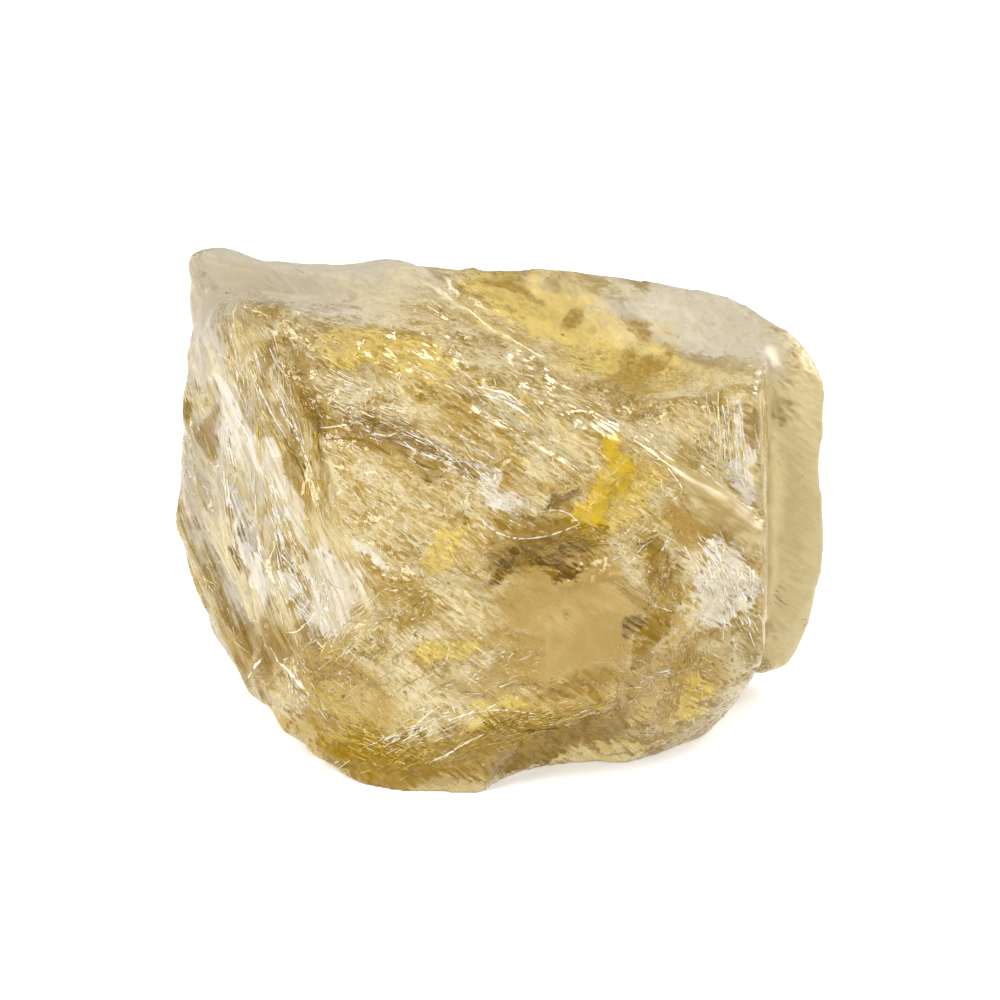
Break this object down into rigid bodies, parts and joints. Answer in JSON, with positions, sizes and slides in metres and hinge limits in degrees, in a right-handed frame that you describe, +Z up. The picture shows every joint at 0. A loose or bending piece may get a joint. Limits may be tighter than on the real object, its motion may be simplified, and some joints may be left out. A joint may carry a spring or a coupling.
{
  "type": "rough fenster quartz crystal",
  "caption": "Broken chunk of clear golden quartz with a fluted left flank, a shelly front face, a crest with a valley behind it and a lower block behind, lying on a flat fracture face.",
  "frame": {"origin": "middle of the stone's footprint box, on the flat face that it rests on", "axes": "+X along the stone's length, towards its right end; +Y towards its back; +Z up"},
  "size_m": [0.0326, 0.0236, 0.0238],
  "materials": {
    "golden_quartz": "clear pale golden quartz, glossy broken faces with feathery fractures and iron stain"
  },
  "bodies": {
    "root": {"quartz_chunk": "golden_quartz"}
  },
  "joints": []
}
